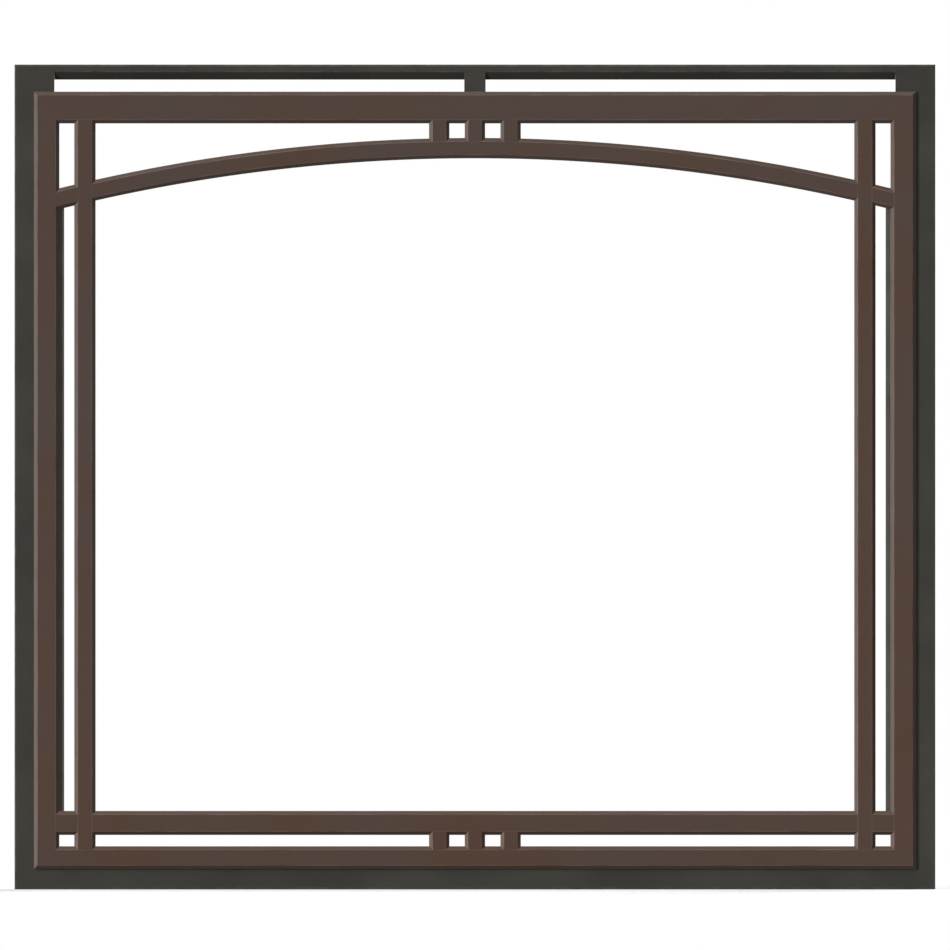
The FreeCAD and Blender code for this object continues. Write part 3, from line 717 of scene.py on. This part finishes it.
def crossing_bar(node, low, high, height):
    """A section of (across, depth) carried along X, where height(across, x) gives each point's Z.

    Beside a mullion the rows follow its chamfer and its side, and under it only the back half goes on.
    """
    section, edge = bar_section(low, high)
    across, depth = section.T
    past = over_chamfer(depth)
    to_shoulder = np.maximum(depth, bar_shoulder)
    back_half = np.maximum(depth, bar_middle)
    right_rows = [(mullion_inner * step, depth) for step in np.linspace(0, 1, ARCH_ROWS // 2)[1:-1]]
    right_rows += [
        (mullion_inner + past, depth),
        (mullion_inner, to_shoulder),
        (mullion_inner, back_half),
        (mullion_outer, back_half),
        (mullion_outer, to_shoulder),
        (mullion_outer - past, depth),
        (stile_edge + past, depth),
    ]
    left_rows = [(-x, shape) for x, shape in reversed(right_rows)]
    rows = []
    for x, shape in left_rows + [(0.0, depth)] + right_rows:
        x = np.broadcast_to(x, len(across))
        rows.append(np.column_stack([x, shape, height(across, x)]))
    bronze_bar(node, rows, edge)


def level(across, x):
    """Height along a level bar, the same at every x."""
    return across + np.zeros_like(x)


crossing_bar("arch_bar", arch_inner, arch_radius, on_arch)
crossing_bar("sill_bar", sill_bottom, sill_top, level)


# Struts
# Two groups of three short uprights in the middle, above the arch's crown and below the sill.
# Their ends are scribed to the chamfers that they meet, welded and dressed flush.

strut_edges = {}
for place in ("left", "centre", "right"):
    for node in (f"top_strut_{place}", f"bottom_strut_{place}"):
        (strut_left, _, _), (strut_right, _, _) = corners_of(node)
        strut_edges[place] = (strut_left, strut_right)
        section, edge = bar_section(strut_left, strut_right)
        across, depth = section.T
        past = over_chamfer(depth)
        if node.startswith("top"):
            ends = on_arch(arch_radius - past, across), rail_underside + past
        else:
            ends = rail_upperside - past, sill_bottom + past
        strut_rows = [np.column_stack([section, z]) for z in ends]
        bronze_bar(node, strut_rows, edge)


# Weld beads
# Short welds on the face's back, along the joints that stay clear of the surround when it is lifted.
# Each is a row of overlapping ripples, left as it was laid and coated with the bars.

BEAD_HALF_WIDTH = 0.0020
BEAD_HEIGHT = 0.0011
BEAD_RIPPLE = 0.0017  # from one ripple to the next
BEAD_MARGIN = 0.0015  # from a bead's end to the edge of the bar
BEAD_ROWS = 72
BEAD_POINTS = 12
BEAD_WIDER, BEAD_HIGHER = 0.12, 0.30  # how much a ripple swells the bead
BEAD_BLUNTNESS = 10  # how squarely a bead ends
BEAD_TIP = 0.97  # how far out its end faces lie


def bead(edges, height):
    """A bead along X between two edges, on the bars' backs, where height(x) is the joint's Z.

    With t from -1 to 1 along the bead, its section is an ellipse whose sizes fall off at the ends as
    sqrt(1 - t^n), and swell with |sin(pi x / ripple)|.
    """
    x_low, x_high = edges[0] + BEAD_MARGIN, edges[1] - BEAD_MARGIN
    along = np.linspace(-BEAD_TIP, BEAD_TIP, BEAD_ROWS)[:, None]
    x = (x_low + x_high) / 2 + along * (x_high - x_low) / 2
    fall = np.sqrt(1 - along**BEAD_BLUNTNESS)
    ripple = np.abs(np.sin(math.pi * x / BEAD_RIPPLE))
    angle = np.linspace(0, 2 * math.pi, BEAD_POINTS, endpoint=False)
    across = BEAD_HALF_WIDTH * fall * (1 + BEAD_WIDER * ripple) * np.cos(angle)
    out = BEAD_HEIGHT * fall * (1 + BEAD_HIGHER * ripple) * np.sin(angle)
    return np.stack([x + np.zeros(BEAD_POINTS), bar_back + out, height(x) + across], -1)


def at_height(z):
    """A level joint's height at any x."""
    return lambda x: z + np.zeros_like(x)


def along_arch(radius):
    """The height at any x of a joint along the arch."""
    return lambda x: on_arch(radius, x)


beads = []
for edges in strut_edges.values():
    beads.append(bead(edges, along_arch(arch_radius)))
    beads.append(bead(edges, at_height(sill_bottom)))
    beads.append(bead(edges, at_height(rail_upperside)))
for edges in ((-mullion_outer, -mullion_inner), (mullion_inner, mullion_outer)):
    beads.append(bead(edges, along_arch(arch_radius)))
    beads.append(bead(edges, along_arch(arch_inner)))
    for z in (sill_top, sill_bottom, rail_upperside):
        beads.append(bead(edges, at_height(z)))
dress(closed_piece("face_weld_beads", beads, 0.0), bronze_coat, "face_frame", "bronze_bar")


# Fasteners
# Zinc-plated steel: shouldered studs with hexagon sockets that hang the face in the surround's keyholes,
# and pan-head screws with cross recesses that hold the rim.

ZINC_PALE = (176, 176, 172)
ZINC_DARK = (146, 145, 138)
ZINC_ROUGHNESS = (0.26, 0.42)
ZINC_CLOUDS = 400.0
ZINC_CLOUD_DETAIL = 3.0
ZINC_MARKS = 2500.0
ZINC_MARK_HEIGHT = 0.00002
ZINC_MARK_STRENGTH = 0.4
TURNED_POINTS = 48  # round a stud or screw
STUD_SHANK, STUD_SHOULDER, STUD_HEAD = 0.0025, 0.0030, 0.0055
STUD_HEAD_HEIGHT = 0.0025
STUD_BITE = 0.0050
SOCKET_SIDES = 6
SOCKET_FLAT = 0.0020  # from the middle to a flat of the hexagon
SOCKET_DEPTH = 0.0014
SCREW_SHANK, SCREW_HEAD = 0.0020, 0.0038
SCREW_HEAD_HEIGHT = 0.0024
SCREW_BITE = 0.0045
SCREW_COUNT = 4  # along the arch, and along the sill
SCREW_STEP = 0.240
CROSS_ARMS = 4
CROSS_REACH, CROSS_ARM = 0.0022, 0.0005  # half length and half width of the recess's arms
CROSS_DEPTH = 0.0013
CROSS_TAPER = 0.7
CROSS_BREAK = 0.0001
BREAK = 0.0003  # broken edges of turned pieces
DOME_STEPS = 6


def zinc_plate():
    """Bright zinc plate: metal with faint clouds and fine drawing marks."""
    material, tree, shader, place = new_finish("zinc_plate")
    cloud = between(tree, noise(tree, place, ZINC_CLOUDS, ZINC_CLOUD_DETAIL), 0.0, 1.0)
    marks = noise(tree, place, ZINC_MARKS, GRAIN_DETAIL)
    colour = blend_colours(tree, cloud, ZINC_PALE, ZINC_DARK)
    cover(tree, shader, colour, marks, ZINC_ROUGHNESS, ZINC_MARK_HEIGHT, ZINC_MARK_STRENGTH)
    shader.inputs["Metallic"].default_value = 1.0
    return material


zinc = zinc_plate()
round_angles = np.linspace(0, 2 * math.pi, TURNED_POINTS, endpoint=False)


def facing(sides):
    """Each angle measured from the nearest of evenly spaced directions."""
    step = 2 * math.pi / sides
    return (round_angles + step / 2) % step - step / 2


def turned(name, node, centres, rings):
    """Copies of one turned fastener about Y, from (radius, depth) rings, at (x, z) centres."""
    radii = np.stack([np.broadcast_to(radius, TURNED_POINTS) for radius, _ in rings])
    shape = rings_along_y(radii, [depth for _, depth in rings], TURNED_POINTS)
    places = np.array([(x, 0.0, z) for x, z in centres])
    copies = shape + places[:, None, None]
    dress(closed_piece(name, copies, 0.0), zinc, "face_frame", "zinc_hardware", node)


# a hexagon reaches out to its flat over the cosine of the angle from that flat's direction
hexagon = SOCKET_FLAT / np.cos(facing(SOCKET_SIDES))
_, (studs_right, stud_top, studs_upper) = corners_of("hanger_studs")
stud_x = studs_right - STUD_HEAD
stud_z = studs_upper - STUD_HEAD
stud_neck = stud_top - STUD_HEAD_HEIGHT
turned(
    "hanger_stud_set",
    "hanger_studs",
    [(x, z) for x in (-stud_x, stud_x) for z in (-stud_z, stud_z)],
    [
        (STUD_SHANK - BREAK, bar_back - STUD_BITE),
        (STUD_SHANK, bar_back - STUD_BITE + BREAK),
        (STUD_SHANK, bar_back),
        (STUD_SHOULDER, bar_back),
        (STUD_SHOULDER, stud_neck),
        (STUD_HEAD - BREAK, stud_neck),
        (STUD_HEAD, stud_neck + BREAK),
        (STUD_HEAD, stud_top - 2 * BREAK),
        (STUD_HEAD - BREAK / 2, stud_top - BREAK / 2),
        (STUD_HEAD - 2 * BREAK, stud_top),
        (hexagon + BREAK, stud_top),
        (hexagon, stud_top - BREAK),
        (hexagon, stud_top - SOCKET_DEPTH),
        (hexagon / 2, stud_top - SOCKET_DEPTH - BREAK),
    ],
)

# a cross reaches out to the end or the side of its nearest arm, whichever comes first
along_arm = np.cos(facing(CROSS_ARMS))
across_arm = np.maximum(np.abs(np.sin(facing(CROSS_ARMS))), SAME_PLACE)
cross = np.minimum(CROSS_REACH / along_arm, CROSS_ARM / across_arm)
screw_x = SCREW_STEP * (np.arange(SCREW_COUNT) - (SCREW_COUNT - 1) / 2)
screw_top = rim_back + SCREW_HEAD_HEIGHT
sill_middle = (sill_bottom + sill_top) / 2
# a quarter circle rounds the upper half of the head
dome_height = SCREW_HEAD_HEIGHT / 2
dome_angle = np.linspace(0, math.pi / 2, DOME_STEPS)[1:]
dome_radii = SCREW_HEAD - (1 - np.cos(dome_angle)) * dome_height
dome_depths = rim_back + (1 + np.sin(dome_angle)) * dome_height
turned(
    "rim_screw_set",
    "rim_screws",
    [(x, on_arch(rim_radius, x)) for x in screw_x] + [(x, sill_middle) for x in screw_x],
    [
        (SCREW_SHANK - BREAK, bar_back - SCREW_BITE),
        (SCREW_SHANK, bar_back - SCREW_BITE + BREAK),
        (SCREW_SHANK, rim_back),
        (SCREW_HEAD, rim_back),
        *zip(dome_radii, dome_depths),
        (cross + CROSS_BREAK, screw_top),
        (cross, screw_top - CROSS_BREAK),
        (cross * CROSS_TAPER, screw_top - CROSS_DEPTH),
    ],
)


# Studio
# A pale floor that runs out to white, and a long lens square to the front at the height of its middle.
# Lamps from the front left and above light the face, and one from behind lights the back.
# Two more graze the left and the upper chamfers.

AMBIENT = 0.16  # light from all round, as a share of white
FLOOR_DROP = 0.0002  # keeps the floor just clear of the bottom edge
FLOOR_HALF = 30.0
FLOOR_PALE, FLOOR_DIM = (238, 238, 238), (124, 124, 124)  # as it is seen, and as it scatters light
FLOOR_NEAR, FLOOR_FAR = 0.9, 2.4  # it runs out to white between these distances
PLAIN_SUN = math.pi  # strength at which a surface square to a sun renders as its colour is written
LAMPS = (
    # where its light comes from, its share of a plain level, its width in degrees, if it casts shadows
    ("front_lamp", (-0.60, -0.75, 0.18), 0.64, 16, True),
    ("upper_lamp", (-0.35, -0.60, 0.70), 0.48, 50, False),
    ("left_grazing_lamp", (-0.99, 0.00, -0.09), 0.50, 2, False),
    ("top_grazing_lamp", (-0.16, -0.08, 0.98), 0.28, 20, False),
    ("rear_lamp", (0.60, 0.70, 0.40), 0.90, 40, True),
)
VIEW_DISTANCE = 30.0
VIEW_WIDTH = 1.0482  # of the frame, at the surround's front
VIEW_X, VIEW_Z = 0.0001, 0.0021  # where the lens points
VIEW_REACH = 200.0
SENSOR = 36.0  # width of the picture behind the lens, in millimetres
WHITE = (1, 1, 1, 1)


def seen_directly(tree):
    """1 for rays that come from the camera, a reflection or through glass, and 0 for scattered light."""
    path = tree.nodes.new("ShaderNodeLightPath")
    total = path.outputs["Is Camera Ray"]
    for ray in ("Is Glossy Ray", "Is Transmission Ray"):
        either = tree.nodes.new("ShaderNodeMath")
        either.operation = "MAXIMUM"
        tree.links.new(total, either.inputs[0])
        tree.links.new(path.outputs[ray], either.inputs[1])
        total = either.outputs["Value"]
    return total


def mix_shaders(tree, share, first, second):
    """The first shader where the share is 0 and the second where it is 1."""
    made = add_node(tree, "ShaderNodeMixShader", Fac=share)
    tree.links.new(first.outputs[0], made.inputs[1])
    tree.links.new(second.outputs[0], made.inputs[2])
    return made


world = bpy.data.worlds.new("studio")
bpy.context.scene.world = world
world.use_nodes = True
sky = world.node_tree
sky.nodes.clear()
soft_light = add_node(sky, "ShaderNodeBackground", Color=WHITE, Strength=AMBIENT)
white_wall = add_node(sky, "ShaderNodeBackground", Color=WHITE, Strength=1.0)
wall = mix_shaders(sky, seen_directly(sky), soft_light, white_wall)
add_node(sky, "ShaderNodeOutputWorld", Surface=wall.outputs[0])

floor_corners = FLOOR_HALF * np.array([(-1, -1), (1, -1), (1, 1), (-1, 1)])
floor_mesh = bpy.data.meshes.new("studio_floor")
floor_mesh.from_pydata(
    [(x, y, bottom - FLOOR_DROP) for x, y in floor_corners.tolist()], [], [(0, 1, 2, 3)]
)
floor = show("studio_floor", floor_mesh)

floor_paint = bpy.data.materials.new("studio_floor")
floor_paint.use_nodes = True
paint = floor_paint.node_tree
paint.nodes.clear()
seen = seen_directly(paint)
place = paint.nodes.new("ShaderNodeTexCoord").outputs["Object"]
distance = paint.nodes.new("ShaderNodeVectorMath")
distance.operation = "LENGTH"
paint.links.new(place, distance.inputs[0])
far = between(paint, distance.outputs["Value"], 0.0, 1.0, start=FLOOR_NEAR, end=FLOOR_FAR)
far_glow = between(paint, seen, AMBIENT, 1.0, start=0.0, end=1.0)
pale = add_node(paint, "ShaderNodeBsdfDiffuse", Color=blend_colours(paint, seen, FLOOR_DIM, FLOOR_PALE))
white = add_node(paint, "ShaderNodeEmission", Strength=far_glow)
whole_floor = mix_shaders(paint, far, pale, white)
add_node(paint, "ShaderNodeOutputMaterial", Surface=whole_floor.outputs[0])
floor_mesh.materials.append(floor_paint)

for name, direction, share, width, casts_shadow in LAMPS:
    lamp = bpy.data.lights.new(name, "SUN")
    lamp.energy = share * PLAIN_SUN
    lamp.angle = math.radians(width)
    lamp.use_shadow = casts_shadow
    holder = show(name, lamp)
    holder.rotation_euler = Vector(direction).to_track_quat("Z", "Y").to_euler()

lens = bpy.data.cameras.new("camera")
lens.sensor_width = SENSOR
lens.lens = SENSOR * VIEW_DISTANCE / VIEW_WIDTH
lens.clip_end = VIEW_REACH
camera = show("camera", lens)
camera.location = (VIEW_X, front - VIEW_DISTANCE, VIEW_Z)
camera.rotation_euler = (math.pi / 2, 0, 0)  # upright, looking along Y
bpy.context.scene.camera = camera
bpy.context.scene.view_settings.view_transform = "Standard"
